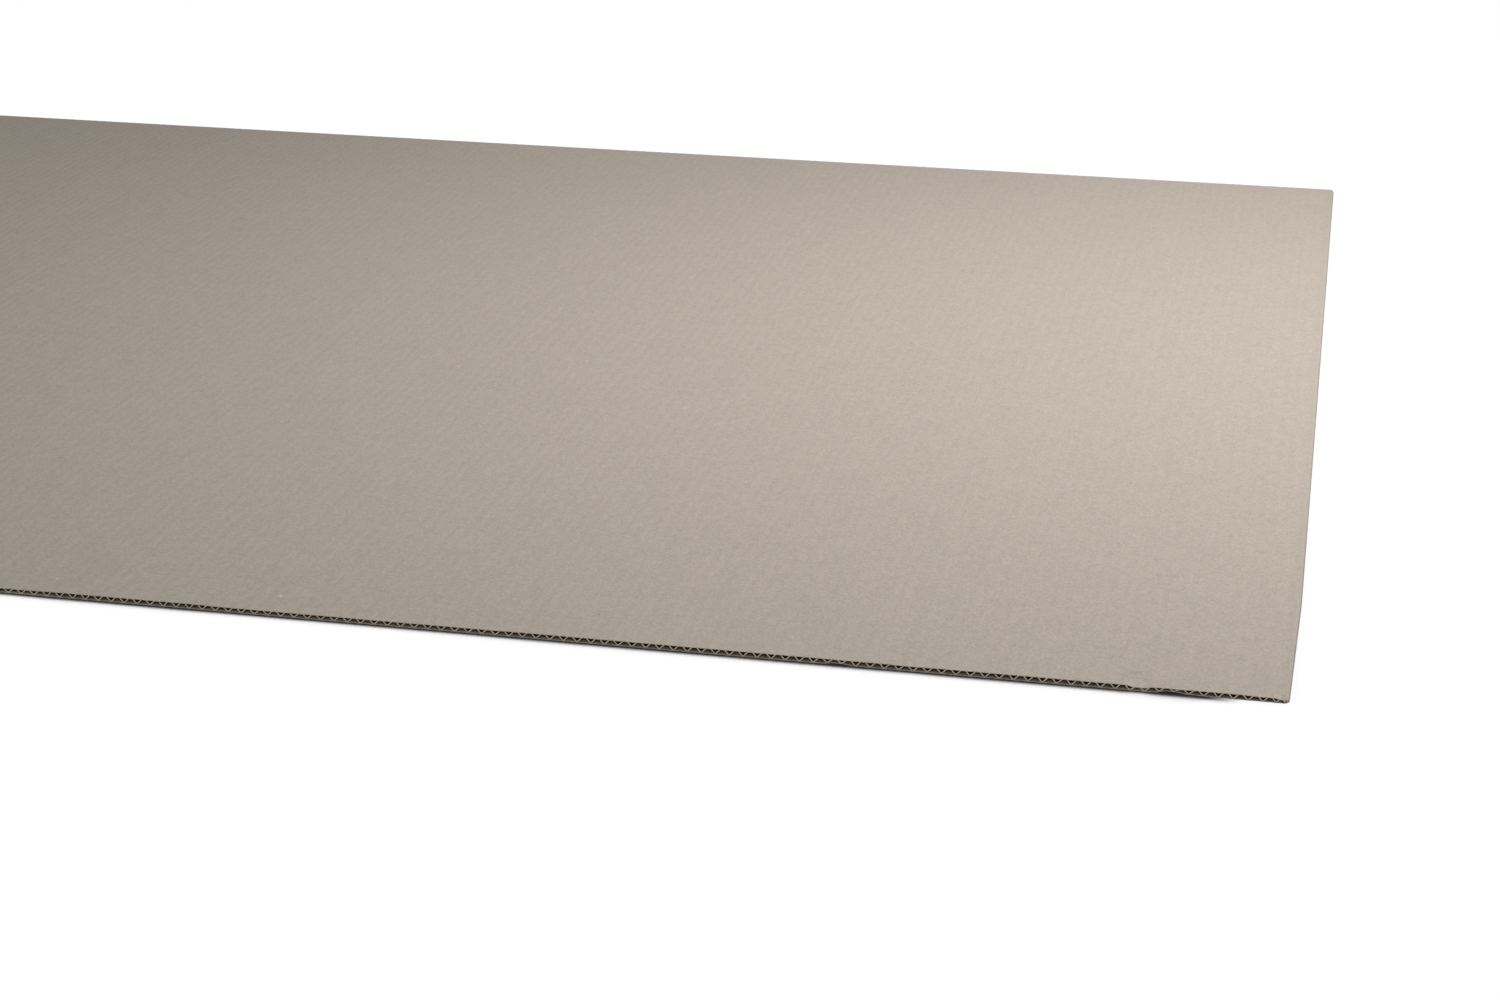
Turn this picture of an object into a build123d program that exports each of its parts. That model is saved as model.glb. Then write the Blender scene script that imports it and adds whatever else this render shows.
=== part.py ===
from build123d import *
from build123d.topology import SkipClean
from math import asin, atan2, cos, floor, radians, sin, tan
import os

# Corrugated cardboard sheet, single wall, B flute: a wavy fluting paper glued between
# two flat liners. The sheet lies flat with its flutes running front to back.
# X is the long side, across the flutes. Y runs along the flutes. Z is up.
# The origin is under the middle of the sheet.

# Size of the sheet
sheet_length = 1200
sheet_width = 1000

# Papers
liner_thickness = 0.22
medium_thickness = 0.2

# Flutes. The crests have a wide glue land, and the troughs a narrow one.
flute_pitch = 6.48
flute_height = 2.21
flank_angle = 53
crest_land = 1.5
trough_land = 0.35

# Levels
medium_bottom = liner_thickness
medium_top = medium_bottom + flute_height
board_thickness = medium_top + liner_thickness
z_trough = medium_bottom + medium_thickness / 2
z_crest = medium_top - medium_thickness / 2

# The two slit sides, along the flutes, are pinched shut: the top liner rolls down
# over them and ends on the bottom liner.
curl_radius = board_thickness - liner_thickness
curl_inner_radius = curl_radius - liner_thickness
curl_start = sheet_length / 2 - curl_radius
curl_centre = (curl_start, liner_thickness)

# Each tip of the wave turns from its flat glue land to the steep flank over a shoulder
# at half the slope. The shoulder is as long as flank and lands need to meet.
half_pitch = flute_pitch / 2
half_paper = medium_thickness / 2
wave_height = z_crest - z_trough
wave_run = half_pitch - (crest_land + trough_land) / 2
steep = tan(radians(flank_angle))
shallow = tan(radians(flank_angle / 2))
shoulder = (steep * wave_run - wave_height) / (2 * (steep - shallow))
shoulder_rise = shoulder * shallow

# The outermost crests reach as far out as the rolled-down liner leaves room for.
crest_room = curl_start - crest_land / 2
crests_per_side = floor(crest_room / flute_pitch)
last_crest = crests_per_side * flute_pitch
last_trough = last_crest - half_pitch


def tip(centre, land, z_land, z_shoulder):
    """Corners of one tip of the wave, on the paper's middle line, from left to right."""
    return [
        (centre - land / 2 - shoulder, z_shoulder),
        (centre - land / 2, z_land),
        (centre + land / 2, z_land),
        (centre + land / 2 + shoulder, z_shoulder),
    ]


def trough(centre):
    """A tip that is glued to the bottom liner."""
    return tip(centre, trough_land, z_trough, z_trough + shoulder_rise)


def crest(centre):
    """A tip that is glued to the top liner."""
    return tip(centre, crest_land, z_crest, z_crest - shoulder_rise)


def face(line, lift):
    """Corners of a line beside the middle line, raised square to it by the lift.

    The first and last corner of the middle line only give the end slopes.
    """
    corners = []
    for before, here, after in zip(line, line[1:], line[2:]):
        slope_before = atan2(here[1] - before[1], here[0] - before[0])
        slope_after = atan2(after[1] - here[1], after[0] - here[0])
        bisector = (slope_before + slope_after) / 2
        reach = lift / cos((slope_after - slope_before) / 2)
        corners.append((here[0] - reach * sin(bisector), here[1] + reach * cos(bisector)))
    return corners


def draw_paper(line):
    """Draws the outline of a stretch of the paper along its middle line."""
    Polyline(*face(line, half_paper), *reversed(face(line, -half_paper)), close=True)


# The sections stand at the back edge and are drawn out to the front edge.
back_edge = Plane.XZ.offset(-sheet_width / 2)


# Bottom liner
with BuildPart() as bottom_liner:
    with BuildSketch():
        Rectangle(sheet_length, sheet_width)
    extrude(amount=liner_thickness)
bottom_liner.part.label = "bottom_liner"


# One crest of the fluting paper
with BuildSketch() as crest_section:
    with BuildLine():
        draw_paper([*trough(-half_pitch)[1:], *crest(0), *trough(half_pitch)[:3]])
    make_face()


# The glue land of one trough
with BuildSketch() as land_section:
    with BuildLine():
        draw_paper(trough(0))
    make_face()


# The paper from the last trough to the pinched side. Past the last crest it is pressed
# down into the foot of the curl, and the bottom liner cuts it off there.
land_end = Vector(last_crest + crest_land / 2, z_crest)
foot = Vector(curl_start + curl_inner_radius, medium_bottom)
reach = foot - land_end
pressed_slope = atan2(reach.Y, reach.X) - asin(half_paper / reach.length)
run_on = Vector(cos(pressed_slope), sin(pressed_slope)) * reach.length
pressed_end = land_end + run_on
past_end = pressed_end + run_on
with BuildSketch() as side_section:
    with BuildLine():
        draw_paper(
            [
                *trough(last_trough),
                (last_crest - crest_land / 2, z_crest),
                (land_end.X, land_end.Y),
                (pressed_end.X, pressed_end.Y),
                (past_end.X, past_end.Y),
            ]
        )
    make_face()
    with Locations((foot.X, medium_bottom)):
        Rectangle(
            half_pitch, half_pitch, align=(Align.CENTER, Align.MAX), mode=Mode.SUBTRACT
        )


# Fluting paper. Its crests and lands stay separate faces at the cut edges, so that no
# face has thousands of corners.
with SkipClean():
    with BuildPart() as fluted_medium:
        with BuildSketch(back_edge):
            add(side_section.sketch)
            mirror(about=Plane.YZ)
            with GridLocations(flute_pitch, flute_pitch, 2 * crests_per_side - 1, 1):
                add(crest_section.sketch)
            with GridLocations(flute_pitch, flute_pitch, 2 * crests_per_side - 2, 1):
                add(land_section.sketch)
        extrude(amount=sheet_width)
fluted_medium.part.label = "fluted_medium"


# Top liner, flat over the flutes and rolled down along both slit sides
with BuildPart() as top_liner:
    with BuildSketch(back_edge):
        with BuildLine():
            Line((0, board_thickness), (curl_start, board_thickness))
            CenterArc(curl_centre, curl_radius, 0, 90)
            Line(
                (curl_start + curl_radius, liner_thickness),
                (curl_start + curl_inner_radius, liner_thickness),
            )
            CenterArc(curl_centre, curl_inner_radius, 0, 90)
            Line((curl_start, medium_top), (0, medium_top))
            mirror(about=Plane.YZ)
        make_face()
    extrude(amount=sheet_width)
top_liner.part.label = "top_liner"


# Each layer is written as its own part.
os.makedirs("parts", exist_ok=True)
export_step(bottom_liner.part, "parts/bottom_liner.step")
export_step(fluted_medium.part, "parts/fluted_medium.step")
export_step(top_liner.part, "parts/top_liner.step")
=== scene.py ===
# %% [markdown]
# # A sheet of corrugated cardboard
#
# Corrugated board is three papers: a wavy fluting paper, glued between two flat liners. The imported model
# holds them as three plain solids. This lesson dresses them: the folds of the fluting get round, the liners
# get the faint washboard that the glue pulls into them, and the worn corner and the crushed spots follow.
#
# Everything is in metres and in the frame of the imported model: X is across the flutes, Y along them, Z up.

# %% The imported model
from math import cos, pi, radians, sqrt, tan
import random

import bmesh
import bpy
from mathutils import Matrix, Vector


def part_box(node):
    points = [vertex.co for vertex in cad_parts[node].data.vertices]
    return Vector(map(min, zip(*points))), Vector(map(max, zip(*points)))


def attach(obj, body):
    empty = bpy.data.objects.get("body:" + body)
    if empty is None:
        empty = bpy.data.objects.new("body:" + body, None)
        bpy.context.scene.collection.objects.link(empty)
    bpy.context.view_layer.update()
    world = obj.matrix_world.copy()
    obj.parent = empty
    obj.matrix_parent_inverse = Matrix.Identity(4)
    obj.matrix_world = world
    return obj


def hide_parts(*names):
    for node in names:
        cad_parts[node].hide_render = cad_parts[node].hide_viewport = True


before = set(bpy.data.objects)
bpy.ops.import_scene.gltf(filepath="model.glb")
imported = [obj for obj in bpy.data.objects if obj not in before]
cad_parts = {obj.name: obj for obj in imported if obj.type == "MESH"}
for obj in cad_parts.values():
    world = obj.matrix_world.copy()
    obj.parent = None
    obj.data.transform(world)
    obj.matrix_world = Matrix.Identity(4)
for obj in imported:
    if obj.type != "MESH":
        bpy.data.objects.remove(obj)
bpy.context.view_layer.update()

print("pieces of the packed model:", ", ".join(sorted(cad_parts)))

# %% [markdown]
# ## Sizes
#
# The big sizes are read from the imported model, so the papers always fit it. A few small ones belong to the
# fluting machine: the pitch of its teeth, the thickness of the fluting paper, the slope of the flanks, the
# radius of the folds, and where a fold lies on each side of a crest. The crests are broader than the
# troughs, because the glue roll presses them flat, and all troughs lean a little to the left.

# %% Sizes
MM = 0.001
FLUTE_PITCH = 6.48 * MM
FLUTING_PAPER = 0.2 * MM
FLANK_ANGLE = radians(48)
FOLD_RADIUS = 0.75 * MM
CREST_FOLD = 1.05 * MM
TROUGH_LEAN = -0.14 * MM

bottom_low, bottom_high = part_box("bottom_liner")
fluting_low, fluting_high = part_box("fluted_medium")
top_low, top_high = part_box("top_liner")

side = top_high.x
front, back = top_low.y, top_high.y
sheet_width = back - front
board = top_high.z
liner = board - fluting_high.z
curl_radius = board - bottom_high.z
curl_start = side - curl_radius
trough_level = fluting_low.z + FLUTING_PAPER / 2
crest_level = fluting_high.z - FLUTING_PAPER / 2
half_pitch = FLUTE_PITCH / 2
crests_per_side = int((curl_start - CREST_FOLD) / FLUTE_PITCH)
last_trough = (crests_per_side - 0.5) * FLUTE_PITCH
whole_flutes = 2 * crests_per_side - 1
print(f"{whole_flutes} whole flutes, board {board / MM:.2f} mm, liner {liner / MM:.2f} mm")

# %% [markdown]
# ## Hands for the work
#
# Each paper is drawn as by hand: a flat grid is added, and edit mode extrudes, bevels and cuts it. These
# helpers start and end edit mode, select edges by their place, because a script can't click on them, and
# apply a modifier. Places closer than a hundredth of a millimetre count as the same.


# %% Helpers for edit mode
SAME_PLACE = 0.01 * MM


def take(piece):
    """Makes a piece the only selected and the active one."""
    bpy.ops.object.select_all(action="DESELECT")
    bpy.context.view_layer.objects.active = piece
    piece.select_set(True)


def edit(piece):
    """Opens a piece in edit mode."""
    take(piece)
    bpy.ops.object.mode_set(mode="EDIT")


def leave_edit():
    """Goes back to object mode."""
    bpy.ops.object.mode_set(mode="OBJECT")


def middle(edge):
    """The middle of an edge."""
    start, end = edge.verts
    return (start.co + end.co) / 2


def pick_edges(wanted):
    """Selects the edges of the edited mesh whose middle is wanted, and counts them."""
    bpy.ops.mesh.select_mode(type="EDGE")
    bpy.ops.mesh.select_all(action="DESELECT")
    drawn = bpy.context.edit_object.data
    mesh = bmesh.from_edit_mesh(drawn)
    chosen = [edge for edge in mesh.edges if wanted(middle(edge))]
    for edge in chosen:
        edge.select_set(True)
    mesh.select_flush_mode()
    bmesh.update_edit_mesh(drawn)
    return len(chosen)


def near(a, b):
    """True if two places are the same to a hundredth of a millimetre."""
    return abs(a - b) < SAME_PLACE


def finish_modifier(piece, name, kind, **settings):
    """Adds a modifier with its settings and applies it."""
    take(piece)
    modifier = piece.modifiers.new(name, kind)
    for setting, value in settings.items():
        setattr(modifier, setting, value)
    bpy.ops.object.modifier_apply(modifier=modifier.name)


# %% [markdown]
# ## One flute
#
# On the machine the paper is pressed between two toothed rolls. One flute is enough to model, because an
# Array repeats it. It starts as the flat land on the crest. Its two long edges are extruded down the flanks
# and out over half a trough, and a bevel of three steps rounds the four folds, as the rolls do. The blade
# drags the soft fluting along, so that its cut stands back a little from the cuts of the liners.


# %% A flat strip over the width of the sheet
def flat_strip(name, half_length, level, columns=1, stands_back=0):
    """Adds a strip of paper along Y, with the flutes, and leaves it open in edit mode."""
    bpy.ops.object.select_all(action="DESELECT")
    bpy.ops.mesh.primitive_grid_add(x_subdivisions=columns, y_subdivisions=1, size=1)
    strip = bpy.context.object
    strip.name = name
    bpy.ops.object.mode_set(mode="EDIT")
    bpy.ops.transform.resize(value=(2 * half_length, sheet_width - 2 * stands_back, 1))
    bpy.ops.transform.translate(value=(0, 0, level))
    return strip


def draw_on(at_x, run, rise):
    """Extrudes the long edge at one place by a run along X and a rise."""
    pick_edges(lambda m: near(m.x, at_x))
    bpy.ops.mesh.extrude_edges_move(TRANSFORM_OT_translate={"value": (run, 0, rise)})
    return at_x + run


# %% The folds of one flute
FOLD_STEPS = 3
STANDS_BACK = 0.55 * MM
wave = crest_level - trough_level
flank_run = wave / tan(FLANK_ANGLE)
trough_fold = half_pitch - flank_run - CREST_FOLD


def round_folds(*places):
    """Rounds the folds of the edited paper at the given places, as the machine's rolls do."""
    folds = pick_edges(lambda m: any(near(m.x, place) for place in places))
    width = FOLD_RADIUS * tan(FLANK_ANGLE / 2)
    bpy.ops.mesh.bevel(offset=width, offset_type="OFFSET", segments=FOLD_STEPS, affect="EDGES")
    return folds


fluting = flat_strip("fluting_paper", CREST_FOLD, crest_level, stands_back=STANDS_BACK)
feet = []
for direction in (-1, 1):
    foot = draw_on(direction * CREST_FOLD, direction * flank_run + TROUGH_LEAN, -wave)
    draw_on(foot, direction * trough_fold, 0)
    feet.append(foot)
folds = round_folds(-CREST_FOLD, CREST_FOLD, *feet)
leave_edit()
print(f"{folds} folds, {len(fluting.data.polygons)} strips of paper in one flute")

# %% [markdown]
# ## Rows along the flutes
#
# The wear is near the front cut edge, so the paper needs corners there to follow it. Bisect cuts the strip
# across while it is still one flute: close together at the front, wide apart in the middle of the sheet,
# and two more at the back cut edge.

# %% Cutting the rows
ROWS_FROM_FRONT = [1, 2.5, 5, 9, 14, 22, 45, 125, 400, 800, 997, 999]


def cut_rows(piece):
    """Cuts a strip across at each row."""
    edit(piece)
    for distance in ROWS_FROM_FRONT:
        bpy.ops.mesh.select_all(action="SELECT")
        bpy.ops.mesh.bisect(plane_co=(0, front + distance * MM, 0), plane_no=(0, 1, 0))
    leave_edit()


cut_rows(fluting)
print(f"{len(fluting.data.polygons)} faces in one flute")

# %% [markdown]
# ## All the flutes
#
# An Array sets the flutes side by side and merges the corners where they meet, so the fluting is one paper.


# %% Repeating a flute
def repeat(piece, count):
    """Repeats a strip that stands on the middle of the sheet, evenly to both sides."""
    edit(piece)
    bpy.ops.mesh.select_all(action="SELECT")
    bpy.ops.transform.translate(value=((1 - count) / 2 * FLUTE_PITCH, 0, 0))
    leave_edit()
    finish_modifier(
        piece,
        "Flutes",
        "ARRAY",
        count=count,
        use_relative_offset=False,
        use_constant_offset=True,
        constant_offset_displace=(FLUTE_PITCH, 0, 0),
        use_merge_vertices=True,
        merge_threshold=SAME_PLACE,
    )


repeat(fluting, whole_flutes)
print(f"{len(fluting.data.polygons)} faces in the fluting")

# %% [markdown]
# ## The two slit sides of the fluting
#
# Past the last whole flute the paper climbs once more and is pressed down with the rolled side of the
# sheet. The flat part is extruded as before. The quarter turn down to the bottom liner is a spin about the
# middle of the roll, with the paper lying inside the liner.

# %% Fluting at the sides
ROLL_STEPS = 6


def roll_down(direction):
    """Spins the outermost long edge of the edited paper a quarter turn, down to the bottom liner."""
    pick_edges(lambda m: near(m.x, direction * curl_start))
    bpy.ops.mesh.spin(
        steps=ROLL_STEPS,
        angle=-direction * radians(90),
        center=(direction * curl_start, 0, bottom_high.z),
        axis=(0, 1, 0),
    )


edit(fluting)
for direction in (-1, 1):
    foot = draw_on(direction * last_trough + TROUGH_LEAN, direction * trough_fold, 0)
    head = draw_on(foot, direction * flank_run - TROUGH_LEAN, wave)
    draw_on(head, direction * curl_start - head, 0)
    round_folds(foot, head)
    roll_down(direction)
leave_edit()
print(f"fluting is {fluting.dimensions.x / MM:.2f} mm wide")

# %% [markdown]
# ## The two liners
#
# A liner is not quite flat. The glue on each flute tip shrinks as it dries and pulls the paper, so the face
# gets a faint washboard, one wave per flute. It could be a bump in the material, but the real face has it
# in its shape, and light from the side shows it from every angle. So one flute's width of liner is drawn as
# a grid of columns, and proportional editing pulls the line between two glue lands in by a little under a
# tenth of a millimetre. The top liner hangs between the crests, and the bottom one arches over the troughs.
# The strips are repeated a little too far and trimmed at the slit sides. Each paper also notes how far
# across the sheet its points are, before the wear moves them, for the painted shade along its sides.

# %% A strip of liner
WASHBOARD = 0.09 * MM
LINER_COLUMNS = 8


def liner_strip(name, level, free_x, pull):
    """Draws one flute's width of liner and pulls its line at free_x, between the glue lands."""
    strip = flat_strip(name, half_pitch, level, LINER_COLUMNS)
    pick_edges(lambda m: near(abs(m.x), free_x))
    bpy.ops.transform.translate(
        value=(0, 0, pull),
        use_proportional_edit=True,
        proportional_edit_falloff="SMOOTH",
        proportional_size=half_pitch,
    )
    leave_edit()
    cut_rows(strip)
    return strip


def trim(piece, reach):
    """Cuts the paper off at both slit sides."""
    edit(piece)
    for direction in (-1, 1):
        bpy.ops.mesh.select_all(action="SELECT")
        bpy.ops.mesh.bisect(plane_co=(direction * reach, 0, 0), plane_no=(direction, 0, 0), clear_outer=True)
    leave_edit()


# %% Both liners
SPARE_FLUTES = 4
flutes_over_all = whole_flutes + SPARE_FLUTES

top_paper = liner_strip("top_paper", board, half_pitch, -WASHBOARD)
repeat(top_paper, flutes_over_all)
trim(top_paper, curl_start)
edit(top_paper)
for direction in (-1, 1):
    roll_down(direction)
leave_edit()

bottom_paper = liner_strip("bottom_paper", bottom_low.z, 0, WASHBOARD)
repeat(bottom_paper, flutes_over_all)
trim(bottom_paper, side)
papers = [top_paper, fluting, bottom_paper]
for paper in papers:
    across = paper.data.attributes.new("across", "FLOAT", "POINT")
    across.data.foreach_set("value", [v.co.x for v in paper.data.vertices])
    print(f"{paper.name}: {paper.dimensions.x / MM:.2f} mm wide, {len(paper.data.polygons)} faces")

# %% [markdown]
# ## Wear on all three papers
#
# The papers are glued, so a knock moves all three together. A Lattice is a cage of points round a place:
# what lies between its points follows them. It has a layer of points at the troughs and one at the crests.
# When the upper layer is pressed down, the top liner goes down whole, the flutes under it get lower, and
# the bottom liner stays, as in a real crushed spot. Each cage ends inside the sheet where nothing moves any
# more, so the paper beyond it is left as it was. The first cage spans the whole sheet and moves its points
# a little across, because the flutes of a real board are never quite evenly spaced.


# %% A cage of points
def bend(name, low, high, counts, shift):
    """Bends all three papers with a cage of points. shift says how far a point at a place moves."""
    size = Vector(high) - Vector(low)
    bpy.ops.object.select_all(action="DESELECT")
    bpy.ops.object.add(type="LATTICE", location=Vector(low) + size / 2)
    cage = bpy.context.object
    cage.scale = size
    cage.data.points_u, cage.data.points_v, cage.data.points_w = counts
    cage.data.interpolation_type_w = "KEY_LINEAR"
    bpy.context.view_layer.update()
    for point in cage.data.points:
        moved = shift(cage.matrix_world @ point.co)
        point.co_deform = point.co + Vector(m / s for m, s in zip(moved, size))
    for paper in papers:
        finish_modifier(paper, name, "LATTICE", object=cage)
    bpy.data.objects.remove(cage)


def plateau(at, start, end, slope):
    """1 between start and end, falling smoothly to 0 over a slope outside them."""
    outside = max(start - at, at - end, 0)
    return (1 + cos(pi * min(outside / slope, 1))) / 2


# %% Flutes that wander a little
WANDER = 0.12 * MM
WANDER_COLUMNS = 61
WANDER_ROWS = 5
WANDER_SEED = 8
HELD_AT_SIDES = 30 * MM
chance = random.Random(WANDER_SEED)


def wander(place):
    """The flutes are never quite evenly spaced or quite straight."""
    if abs(place.x) > side - HELD_AT_SIDES:
        return (0, 0, 0)
    return (chance.uniform(-WANDER, WANDER), 0, 0)


bend(
    "Wandering flutes",
    (-side, front, trough_level),
    (side, back, crest_level),
    (WANDER_COLUMNS, WANDER_ROWS, 1),
    wander,
)
print(f"{WANDER_COLUMNS * WANDER_ROWS} places moved by up to {WANDER / MM:.2f} mm")

# %% [markdown]
# ## Worn places along the front cut edge
#
# These are listed: where the place starts and ends along the edge, how wide its slope is, how far it reaches
# into the sheet, how much the top liner sinks there and how much the bottom liner rises, all in millimetres.
# Three are deep: the crushed spot, the lifted underside next to it and a dent in the underside. The others
# are shallow: tired flutes, and stretches where the board lies a little low.

# %% Worn places
WORN_PLACES = {
    "crushed spot": (529.5, 535, 2.5, 12, 0.85, 0),
    "half crushed flute": (538.5, 540, 2.5, 10, 0.15, 0),
    "lifted underside": (543, 548, 4, 7, 0, 0.85),
    "lifted underside beside it": (548, 556, 12, 7, 0, 0.3),
    "slack edge": (550, 552, 3, 6, 0.15, 0.1),
    "low end": (584, 600, 9, 12, 0.25, 0),
    "dented underside": (394, 399, 4, 6, 0, 0.7),
    "tired flutes": (-8, 4, 16, 10, 0.27, 0),
    "low stretch": (104, 190, 18, 40, 0.22, 0),
    "low stretch beside it": (208, 232, 18, 40, 0.15, 0),
    "shallow dip": (426, 434, 9, 30, 0.17, 0),
}
CAGE_STEP = 2


def wear_place(name, start, end, slope, reach, sinks, rises):
    """Presses one worn place, in millimetres along the front edge."""
    length = end - start + 2 * slope
    columns = int(length / CAGE_STEP) + 2
    rows = int(reach / CAGE_STEP) + 2

    def pressed(place):
        across = plateau(place.x / MM, start, end, slope)
        into = plateau((place.y - front) / MM, 0, 0, reach)
        height = -sinks if place.z > board / 2 else rises
        return (0, 0, across * into * height * MM)

    low = ((start - slope) * MM, front, trough_level)
    high = ((end + slope) * MM, front + reach * MM, crest_level)
    bend(name, low, high, (columns, rows, 2), pressed)


for name, numbers in WORN_PLACES.items():
    wear_place(name, *numbers)
print(f"{len(WORN_PLACES)} worn places pressed")

# %% [markdown]
# ## The bumped corner
#
# The front right corner has been knocked. The slit side is straight for most of the sheet and is pushed in
# evenly over its last 125 mm, by two millimetres at the end. The corner is rounded, seen from above, and
# pressed flat, so the last flute is closed there. Two cages do it, a long one and a small, finer one.

# %% The bumped corner
PUSHED_LENGTH = 125 * MM
PUSHED_WIDTH = 18 * MM
PUSHED_IN = 2.15 * MM
PUSHED_FADE = 3
PUSHED_POINTS = (10, 32, 1)
CORNER_RADIUS = 3.6 * MM
CORNER_WIDTH = 12 * MM
CORNER_FADE = 2
CORNER_POINTS = (12, 14, 2)
PRESSED_WIDTH = 5 * MM
PRESSED_LENGTH = 9 * MM
PRESSED_DOWN = 0.7 * MM


def pushed_side(place):
    """How far a point near the front right side is pushed in."""
    along = max(1 - (place.y - front) / PUSHED_LENGTH, 0)
    across = max((place.x - side + PUSHED_WIDTH) / PUSHED_WIDTH, 0) ** PUSHED_FADE
    return (-across * along * PUSHED_IN, 0, 0)


def rounded_corner(place):
    """How far a point at the corner is drawn in by the rounding and pressed down."""
    from_front = max(place.y - front, 0)
    from_arc = max(CORNER_RADIUS - from_front, 0)
    rounding = CORNER_RADIUS - sqrt(CORNER_RADIUS**2 - from_arc**2)
    from_left = max(place.x - side + CORNER_WIDTH, 0)
    down = 0
    if place.z > board / 2:
        flat = plateau(place.x, side - PRESSED_WIDTH, side, PRESSED_WIDTH / 2)
        down = PRESSED_DOWN * flat * plateau(place.y, front, front, PRESSED_LENGTH)
    return (-rounding * (from_left / CORNER_WIDTH) ** CORNER_FADE, 0, -down)


bend(
    "Pushed in side",
    (side - PUSHED_WIDTH, front, trough_level),
    (side, front + PUSHED_LENGTH, crest_level),
    PUSHED_POINTS,
    pushed_side,
)
bend(
    "Rounded corner",
    (side - CORNER_WIDTH, front, trough_level),
    (side, front + CORNER_WIDTH, crest_level),
    CORNER_POINTS,
    rounded_corner,
)
print(f"side pushed in by {PUSHED_IN / MM:.2f} mm, corner rounded by {CORNER_RADIUS / MM:.1f} mm")

# %% [markdown]
# ## Thickness and cut edges
#
# Up to here each paper is a skin. Solidify gives it its thickness: the fluting to both sides, the liners
# away from the outside of the board. The blade leaves a burr of crushed fibres on the soft fluting, so that
# paper is thicker right at the front and back cuts. A vertex group says where, and Displace frays the cuts.
# Each paper gets two empty material slots first, one for its faces and one for its cuts.


# %% Giving the papers their thickness
FLUTING_BURR = 0.24 * MM
FRAY = 0.22 * MM
FRAY_GRAIN = 0.7 * MM
SMOOTH_BELOW = radians(40)

fray_noise = bpy.data.textures.new("torn fibres", "CLOUDS")
fray_noise.noise_scale = FRAY_GRAIN


def thicken(paper, thickness, offset, burr=0):
    """Frays the cut edges of a paper and gives it its thickness, with a second slot for the cut."""
    paper.data.materials.append(None)
    paper.data.materials.append(None)
    reaches = [v.co.y for v in paper.data.vertices]
    for name, edge in (("front cut", min(reaches)), ("back cut", max(reaches))):
        group = paper.vertex_groups.new(name=name)
        group.add([v.index for v in paper.data.vertices if near(v.co.y, edge)], 1, "REPLACE")
    for name, inwards in (("front cut", 1), ("back cut", -1)):
        finish_modifier(
            paper,
            "Fray",
            "DISPLACE",
            texture=fray_noise,
            texture_coords="LOCAL",
            direction="Y",
            strength=inwards * FRAY,
            mid_level=0,
            vertex_group=name,
        )
    cut = paper.vertex_groups.new(name="cut edges")
    cut.add([v.index for v in paper.data.vertices if v.groups], 1, "REPLACE")
    finish_modifier(
        paper,
        "Paper thickness",
        "SOLIDIFY",
        thickness=thickness + burr,
        offset=offset,
        vertex_group="cut edges",
        thickness_vertex_group=thickness / (thickness + burr),
        material_offset_rim=1,
    )
    bpy.ops.object.shade_smooth_by_angle(angle=SMOOTH_BELOW)
    triangles = sum(len(face.vertices) - 2 for face in paper.data.polygons)
    print(f"{paper.name}: {triangles} triangles")


thicken(fluting, FLUTING_PAPER, 0, FLUTING_BURR)
thicken(top_paper, liner, -1)
thicken(bottom_paper, liner, 1)

# %% [markdown]
# ## Recycled paper
#
# The liners are grey-brown recycled paper. Close up it is cloudy, because the pulp never spreads evenly. It
# has a short grain, a little drawn out along the flutes, and here and there a dark or a pale fleck of
# something that was in the pulp. All papers share this, so it is one node group. Each material places it
# with its own strengths. Each pattern of the grain has a size, a detail and a roughness. The flecks are the
# middles of cells, and a cell's random colour says whether its fleck is dark, pale or missing.


# %% A hand for node trees
def wire(tree, kind, sockets=(), **settings):
    """Adds a shader node, sets it, and links or sets its sockets."""
    made = tree.nodes.new("ShaderNode" + kind)
    for name, value in settings.items():
        setattr(made, name, value)
    for name, value in dict(sockets).items():
        if isinstance(value, bpy.types.NodeSocket):
            tree.links.new(value, made.inputs[name])
        else:
            made.inputs[name].default_value = value
    return made


def math(tree, operation, *values):
    """A Math node on links or numbers."""
    return wire(tree, "Math", dict(enumerate(values)), operation=operation).outputs[0]


def ramp(tree, value, low, high, from_value=0.0, to_value=1.0):
    """Maps a value smoothly from one range to another."""
    sockets = {
        "Value": value,
        "From Min": low,
        "From Max": high,
        "To Min": from_value,
        "To Max": to_value,
    }
    return wire(tree, "MapRange", sockets, interpolation_type="SMOOTHSTEP").outputs[0]


def noise(tree, place, size, detail, roughness):
    """Noise with patches of about one size, in metres."""
    sockets = {"Vector": place, "Scale": 1 / size, "Detail": detail, "Roughness": roughness}
    return wire(tree, "TexNoise", sockets).outputs[0]


def new_group(name, inputs, outputs):
    """Starts a shader node group with float sockets and returns it with its two end nodes."""
    group = bpy.data.node_groups.new(name, "ShaderNodeTree")
    for label in inputs:
        group.interface.new_socket(label, in_out="INPUT", socket_type="NodeSocketFloat")
    for label in outputs:
        group.interface.new_socket(label, in_out="OUTPUT", socket_type="NodeSocketFloat")
    return group, group.nodes.new("NodeGroupInput"), group.nodes.new("NodeGroupOutput")


# %% The grain of the pulp
GRAIN = {"Clouds": (14 * MM, 3.0, 0.55), "Tufts": (4 * MM, 2.0, 0.5), "Fibres": (1.4 * MM, 3.0, 0.6)}
GRAIN_STRETCH = (1, 0.6, 1)
TUFT_HEIGHT = 0.4
HUE_LOOK = (5 * MM, 3.0, 0.6)
HUE_SHIFT = (3, 0, 0)
HUE_RANGE = (0.35, 0.65)

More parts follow.
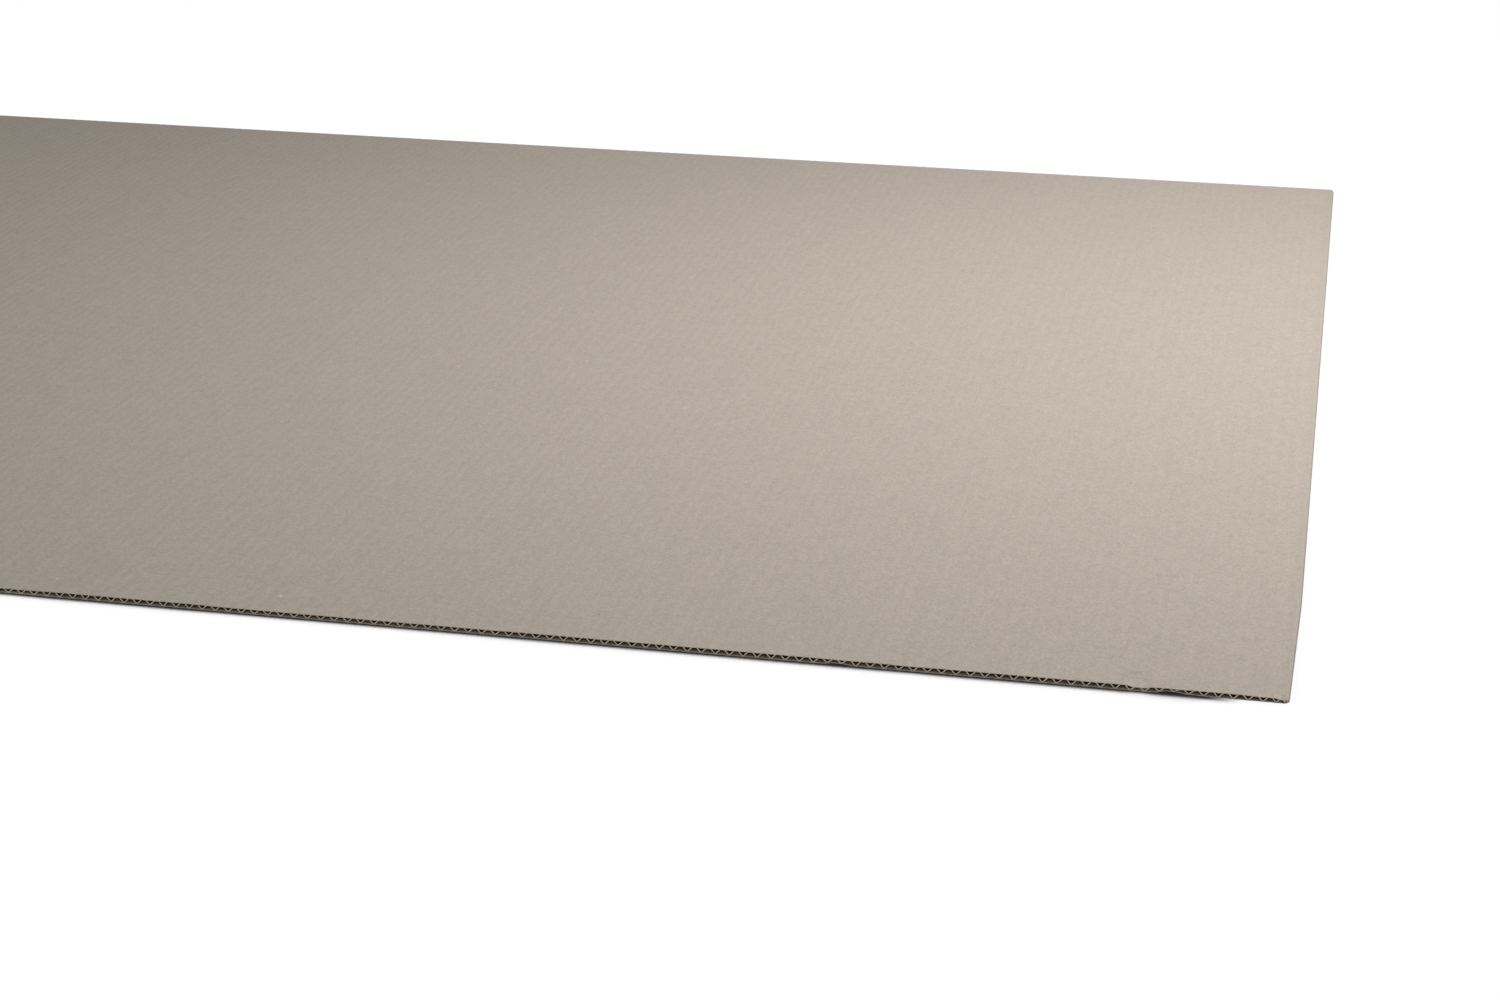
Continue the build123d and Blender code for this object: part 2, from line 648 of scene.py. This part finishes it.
pulp, given, result = new_group(
    "recycled pulp",
    GRAIN,
    ("Tone", "Hue", "Dark flecks", "Pale flecks", "Height"),
)
here = wire(pulp, "TexCoord").outputs["Object"]
along = wire(pulp, "Mapping", {"Vector": here, "Scale": GRAIN_STRETCH}).outputs[0]
patterns = {label: noise(pulp, along, *look) for label, look in GRAIN.items()}
tone = 1.0
for label, pattern in patterns.items():
    centred = math(pulp, "SUBTRACT", pattern, 0.5)
    tone = math(pulp, "MULTIPLY_ADD", centred, given.outputs[label], tone)
pulp.links.new(tone, result.inputs["Tone"])
height = math(pulp, "MULTIPLY_ADD", patterns["Tufts"], TUFT_HEIGHT, patterns["Fibres"])
pulp.links.new(height, result.inputs["Height"])
elsewhere = wire(pulp, "VectorMath", {0: along, 1: HUE_SHIFT}, operation="ADD").outputs["Vector"]
hue = noise(pulp, elsewhere, *HUE_LOOK)
pulp.links.new(ramp(pulp, hue, *HUE_RANGE), result.inputs["Hue"])
print(f"grain of {len(patterns)} patterns, from {GRAIN['Fibres'][0] / MM} to {GRAIN['Clouds'][0] / MM} mm")

# %% The flecks of the pulp
FLECK_CELL = 9 * MM
FLECK_STRETCH = (0.6, 1, 1)
FLECK_CORE = 0.008
FLECK_RIM = 0.03
DARK_BELOW = 0.3
PALE_ABOVE = 0.85

fleck_place = wire(pulp, "Mapping", {"Vector": here, "Scale": FLECK_STRETCH}).outputs[0]
cells = wire(pulp, "TexVoronoi", {"Vector": fleck_place, "Scale": 1 / FLECK_CELL})
kind = wire(pulp, "SeparateColor", {"Color": cells.outputs["Color"]}).outputs[0]
spot = ramp(pulp, cells.outputs["Distance"], FLECK_CORE, FLECK_RIM, 1.0, 0.0)
dark = math(pulp, "MULTIPLY", spot, math(pulp, "LESS_THAN", kind, DARK_BELOW))
pale = math(pulp, "MULTIPLY", spot, math(pulp, "GREATER_THAN", kind, PALE_ABOVE))
pulp.links.new(dark, result.inputs["Dark flecks"])
pulp.links.new(pale, result.inputs["Pale flecks"])
print(f"pulp group with {len(pulp.nodes)} nodes")

# %% [markdown]
# ## The finishes
#
# All papers are matt: a rough surface with hardly any gloss, so that only the fibres show under a low
# light. The liners are grey-brown, the fluting is a browner paper, and the cut edges are paler and rougher,
# because the blade opens the fibres there.


# %% A paper material
PAPER_ROUGHNESS = 0.92
PAPER_GLOSS = 0.25
WARMER = (1.01, 1.0, 0.985)


def tinted(tree, colour, factor, tint):
    """Mixes a colour towards a tint. The factor is a link or a number."""
    sockets = {0: factor, 6: colour, 7: tint}
    return wire(tree, "Mix", sockets, data_type="RGBA").outputs[2]


def paper_material(name, colour, strengths, bump):
    """A matt paper of one colour, with strengths for the pulp's clouds, tufts and fibres.

    Returns the material with its pulp node and its paint, for what is laid over it.
    """
    material = bpy.data.materials.new(name)
    material.use_nodes = True
    tree = material.node_tree
    shader = tree.nodes["Principled BSDF"]
    shader.inputs["Roughness"].default_value = PAPER_ROUGHNESS
    shader.inputs["Specular IOR Level"].default_value = PAPER_GLOSS
    grain = wire(tree, "Group", dict(zip(GRAIN, strengths)), node_tree=pulp)
    warmer = [part * factor for part, factor in zip(colour, WARMER)]
    warm = tinted(tree, (*colour, 1), grain.outputs["Hue"], (*warmer, 1))
    gray = wire(tree, "CombineColor", {i: grain.outputs["Tone"] for i in range(3)}).outputs[0]
    toned = wire(tree, "Mix", {0: 1.0, 6: warm, 7: gray}, data_type="RGBA", blend_type="MULTIPLY")
    rough = wire(tree, "Bump", {"Height": grain.outputs["Height"], "Strength": 1.0, "Distance": bump})
    tree.links.new(rough.outputs[0], shader.inputs["Normal"])
    tree.links.new(toned.outputs[2], shader.inputs["Base Color"])
    return material, grain, toned.outputs[2]


# %% The liners
LINER_COLOUR = (0.404, 0.355, 0.307)
UNDERSIDE_COLOUR = (0.42, 0.345, 0.27)
LINER_GRAIN = (0.065, 0.16, 0.52)
FACE_BUMP = 0.03 * MM
FLECKS = {"Dark flecks": (0.45, (0.09, 0.07, 0.06, 1)), "Pale flecks": (0.4, (0.66, 0.63, 0.58, 1))}
# Painted shade along the slit sides, where the rolled paper turns away from the light: its colour, the
# widths of a broad band and of a thin dark line at the very edge, and how strong each is.
SIDE_SHADE = (0.14, 0.13, 0.11, 1)
SHADED_BAND_WIDTH = 6 * MM
SHADED_LINE_WIDTH = 0.9 * MM
SHADED_BAND = 0.1
SHADED_LINE = 0.5


def liner_material(name, colour):
    """A liner: grey-brown paper with flecks, and painted shade along its two slit sides."""
    material, grain, paint = paper_material(name, colour, LINER_GRAIN, FACE_BUMP)
    tree = material.node_tree
    for label, (strength, fleck) in FLECKS.items():
        paint = tinted(tree, paint, math(tree, "MULTIPLY", grain.outputs[label], strength), fleck)
    across = wire(tree, "Attribute", attribute_name="across").outputs["Fac"]
    from_middle = math(tree, "ABSOLUTE", across)
    # Painted shade: the paper gets darker towards both slit sides.
    for width, strength in ((SHADED_BAND_WIDTH, SHADED_BAND), (SHADED_LINE_WIDTH, SHADED_LINE)):
        side_shade = ramp(tree, from_middle, side - width, side, 0.0, strength)
        paint = tinted(tree, paint, side_shade, SIDE_SHADE)
    tree.links.new(paint, tree.nodes["Principled BSDF"].inputs["Base Color"])
    return material, paint


liner_finish, liner_paint = liner_material("grey liner paper", LINER_COLOUR)
under_finish, under_paint = liner_material("underside liner paper", UNDERSIDE_COLOUR)
print(f"{len(liner_finish.node_tree.nodes)} nodes in each liner's material")

# %% [markdown]
# ## Marks on the top liner
#
# A few specks lie near the front edge of the sheet. Each is noted: its place along the edge and behind it,
# its length and width in millimetres, its colour and how strong it is. The last three are painted shade,
# over the crushed spot and in the creases round it, where the paper broke. On the bottom liner a pale patch
# inside the tired flutes is painted light, standing in for a lip of paper curled up into the light.

# %% Marks
PALE = (0.75, 0.73, 0.69, 1)
DARK = (0.13, 0.11, 0.09, 1)
TAN = (0.5, 0.38, 0.16, 1)
MARKS = {
    "pale speck left": (14.3, 16.9, 1.3, 2, PALE, 0.45),
    "pale speck": (125.8, 19.9, 1.7, 2.4, PALE, 0.7),
    "dark speck": (121.8, 35.5, 1.2, 2, DARK, 0.4),
    "dark speck middle": (278.2, 29.9, 1.7, 2.2, DARK, 0.4),
    "tan speck": (364.4, 71.1, 2, 2.2, TAN, 0.4),
    "grey speck": (400.7, 19.4, 1.4, 2.2, DARK, 0.22),
    "dark dash": (581.3, 36.5, 3.2, 1.5, DARK, 0.25),
    "speck at the side": (592.5, 64, 1, 2, DARK, 0.3),
    # The last three are painted shade over the crushed spot and in its creases.
    "painted shade over the dent": (530, 11.5, 13, 12, DARK, 0.06),
    "painted shade behind the dent": (529.5, 15.5, 7, 3, DARK, 0.12),
    "painted shade beside the dent": (534.5, 7.5, 3, 3.5, DARK, 0.15),
}
# Painted light: a pale patch that stands in for a lip of paper curled up into the light.
UNDER_MARKS = {"painted light on the lip": (6, 1, 32, 4, PALE, 0.5)}
MARK_CORE = 0.45
MARK_RIM = 1.2


def lay_marks(material, paint, marks, level):
    """Lays marks over the paint of a liner."""
    tree = material.node_tree
    here = wire(tree, "TexCoord").outputs["Object"]
    for at_x, from_front, length, width, colour, strength in marks.values():
        centre = Vector((at_x * MM, front + from_front * MM, level))
        halves = (length / 2 * MM, width / 2 * MM, 1)
        offset = wire(tree, "VectorMath", {0: here, 1: centre}, operation="SUBTRACT").outputs["Vector"]
        scaled = wire(tree, "VectorMath", {0: offset, 1: halves}, operation="DIVIDE").outputs["Vector"]
        away = wire(tree, "VectorMath", {0: scaled}, operation="LENGTH").outputs["Value"]
        paint = tinted(tree, paint, ramp(tree, away, MARK_CORE, MARK_RIM, strength, 0.0), colour)
    tree.links.new(paint, tree.nodes["Principled BSDF"].inputs["Base Color"])


lay_marks(liner_finish, liner_paint, MARKS, board)
lay_marks(under_finish, under_paint, UNDER_MARKS, bottom_high.z)
print(f"{len(MARKS)} marks on the top liner, {len(UNDER_MARKS)} on the bottom one")

# %% The fluting and the cuts
FLUTING_COLOUR = (0.1, 0.066, 0.048)
FLUTING_GRAIN = (0.15, 0.25, 0.4)
LINER_CUT_COLOUR = (0.4, 0.345, 0.295)
LINER_CUT_GRAIN = (0.1, 0.3, 0.5)
FLUTING_CUT_COLOUR = (0.62, 0.545, 0.46)
FLUTING_CUT_GRAIN = (0.1, 0.3, 0.6)
CUT_BUMP = 0.05 * MM

fluting_finish = paper_material("brown fluting paper", FLUTING_COLOUR, FLUTING_GRAIN, FACE_BUMP)[0]
liner_cut = paper_material("cut liner paper", LINER_CUT_COLOUR, LINER_CUT_GRAIN, CUT_BUMP)[0]
fluting_cut = paper_material("cut fluting paper", FLUTING_CUT_COLOUR, FLUTING_CUT_GRAIN, CUT_BUMP)[0]

finishes = ((liner_finish, liner_cut), (fluting_finish, fluting_cut), (under_finish, liner_cut))
for paper, (finish, cut_finish) in zip(papers, finishes):
    paper.data.materials[0] = finish
    paper.data.materials[1] = cut_finish
    print(f"{paper.name}: {finish.name}, {cut_finish.name}")

# %% [markdown]
# ## Floor, light and camera
#
# The sheet lies on a pale floor that shows white to the camera, apart from the narrow shadow that hugs the
# sheet. For the camera it is dark paint with a white glow, and Ambient Occlusion takes the glow away where
# the sheet is near, which leaves the shadow. For all other rays it is plain pale paint. The shadow is a
# little deeper beside the crushed and lifted places, and it fades out towards the right end, where the
# light comes round the side.
#
# The light on the sheet is soft: a sky all round that is stronger low at the front, so that it shines into
# the flutes, and one large lamp at the back right. The sky is plain white for the camera alone.

# %% Floor
FLOOR_SIZE = 30
FLOOR_GAP = 0.01 * MM
FLOOR_WHITE = 0.8
FLOOR_SHADE = 0.1
FLOOR_GLOW = 0.95
SHADOW_REACH = 20 * MM
SHADOW_SAMPLES = 16
SHADOW_RANGE = (0.79, 0.96)
SHADOW_FALL = 2
DEEP_FROM = (518 * MM, 531 * MM)
DEEP_TO = (556 * MM, 563 * MM)
DEEPER = 0.021
SHADOW_THINS = (561 * MM, 580 * MM)
LIT_FROM_RIGHT = 0.92

bpy.ops.object.select_all(action="DESELECT")
bpy.ops.mesh.primitive_plane_add(size=FLOOR_SIZE, location=(0, 0, -FLOOR_GAP))
floor = bpy.context.object
floor.name = "floor"
print(f"floor {FLOOR_SIZE} m wide, {FLOOR_GAP / MM:.2f} mm under the sheet")

# %% Finish of the floor
floor_finish = bpy.data.materials.new("pale floor")
floor_finish.use_nodes = True
tree = floor_finish.node_tree
plain = tree.nodes["Principled BSDF"]
plain.inputs["Roughness"].default_value = 1.0
plain.inputs["Specular IOR Level"].default_value = 0.0
seen = wire(tree, "LightPath").outputs["Is Camera Ray"]
shade = wire(tree, "Mix", {0: seen, 2: FLOOR_WHITE, 3: FLOOR_SHADE}, data_type="FLOAT").outputs[0]
gray = wire(tree, "CombineColor", {i: shade for i in range(3)}).outputs[0]
tree.links.new(gray, plain.inputs["Base Color"])
here = wire(tree, "TexCoord").outputs["Object"]
across = wire(tree, "SeparateXYZ", {0: here}).outputs["X"]
deep_from = ramp(tree, across, *DEEP_FROM, 0.0, DEEPER)
deep_to = ramp(tree, across, *DEEP_TO, 1.0, 0.0)
deeper = math(tree, "MULTIPLY", deep_from, deep_to)
nearby = wire(tree, "AmbientOcclusion", {"Distance": SHADOW_REACH}, samples=SHADOW_SAMPLES)
openness = math(tree, "SUBTRACT", nearby.outputs["AO"], deeper)
open_floor = math(tree, "POWER", ramp(tree, openness, *SHADOW_RANGE), SHADOW_FALL)
right_light = ramp(tree, across, *SHADOW_THINS, 0.0, LIT_FROM_RIGHT)
lit_floor = math(tree, "MAXIMUM", open_floor, right_light)
glow = math(tree, "MULTIPLY", math(tree, "MULTIPLY", seen, lit_floor), FLOOR_GLOW)
white = wire(tree, "Emission", {"Color": (1, 1, 1, 1), "Strength": glow})
both = wire(tree, "AddShader", {0: plain.outputs[0], 1: white.outputs[0]})
tree.links.new(both.outputs[0], tree.nodes["Material Output"].inputs["Surface"])
floor.data.materials.append(floor_finish)
print(f"{floor_finish.name}: shadow within {SHADOW_REACH / MM:.0f} mm of the sheet")

# %% Sky
SKY_EVEN = 0.15
SKY_FROM_FRONT = 1.15
FRONT_LIGHT = Vector((0.35, -0.84, 0.4)).normalized()
FRONT_LOBE = 4

world = bpy.data.worlds.new("soft sky")
bpy.context.scene.world = world
world.use_nodes = True
tree = world.node_tree
sky = tree.nodes["Background"]
towards = wire(tree, "TexCoord").outputs["Generated"]
facing = wire(tree, "VectorMath", {0: towards, 1: FRONT_LIGHT}, operation="DOT_PRODUCT").outputs["Value"]
lobe = math(tree, "POWER", math(tree, "MAXIMUM", facing, 0), FRONT_LOBE)
level = math(tree, "MULTIPLY_ADD", lobe, SKY_FROM_FRONT, SKY_EVEN)
seen = wire(tree, "LightPath").outputs["Is Camera Ray"]
shown = wire(tree, "Mix", {0: seen, 2: level, 3: 1.0}, data_type="FLOAT").outputs[0]
tree.links.new(shown, sky.inputs["Strength"])
sky.inputs["Color"].default_value = (1, 1, 1, 1)
print(f"sky from {SKY_EVEN:.2f} to {SKY_EVEN + SKY_FROM_FRONT:.2f}")

# %% Lamp
LAMP_SIZE = 0.6
LAMP_POWER = 14.3
LAMP_PLACE = Vector((0.8, 0.15, 1.0))
LAMP_AIM = Vector((0.3, -0.1, 0))

bpy.ops.object.light_add(type="AREA", location=LAMP_PLACE)
lamp = bpy.context.object
lamp.data.size = LAMP_SIZE
lamp.data.energy = LAMP_POWER
lamp_ray = LAMP_AIM - LAMP_PLACE
lamp.rotation_euler = lamp_ray.to_track_quat("-Z", "Y").to_euler()
print(f"lamp {LAMP_SIZE} m wide, {lamp_ray.length:.2f} m from the sheet")

# %% Camera
CAMERA_PLACE = Vector((0.5999, -1.7434, 0.5147))
CAMERA_TILT = radians(19.115)
CAMERA_TURN = radians(11.119)
CAMERA_ROLL = radians(0.72)
CAMERA_LENS = 72.28
FILM_WIDTH = 36

bpy.ops.object.camera_add()
camera = bpy.context.object
camera.data.lens = CAMERA_LENS
camera.data.sensor_width = FILM_WIDTH
camera.matrix_world = (
    Matrix.Translation(CAMERA_PLACE)
    @ Matrix.Rotation(CAMERA_TURN, 4, "Z")
    @ Matrix.Rotation(radians(90) - CAMERA_TILT, 4, "X")
    @ Matrix.Rotation(CAMERA_ROLL, 4, "Z")
)
scene = bpy.context.scene
scene.camera = camera
scene.view_settings.view_transform = "Standard"
print(f"camera {CAMERA_PLACE.length:.2f} m from the middle of the sheet, lens {CAMERA_LENS} mm")

# %% [markdown]
# ## Putting the papers on the body
#
# Each paper rides on the body of the sheet and stands for its plain solid, which is hidden.

# %% Papers on the body
for paper, node in zip(papers, ("top_liner", "fluted_medium", "bottom_liner")):
    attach(paper, "root")
    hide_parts(node)
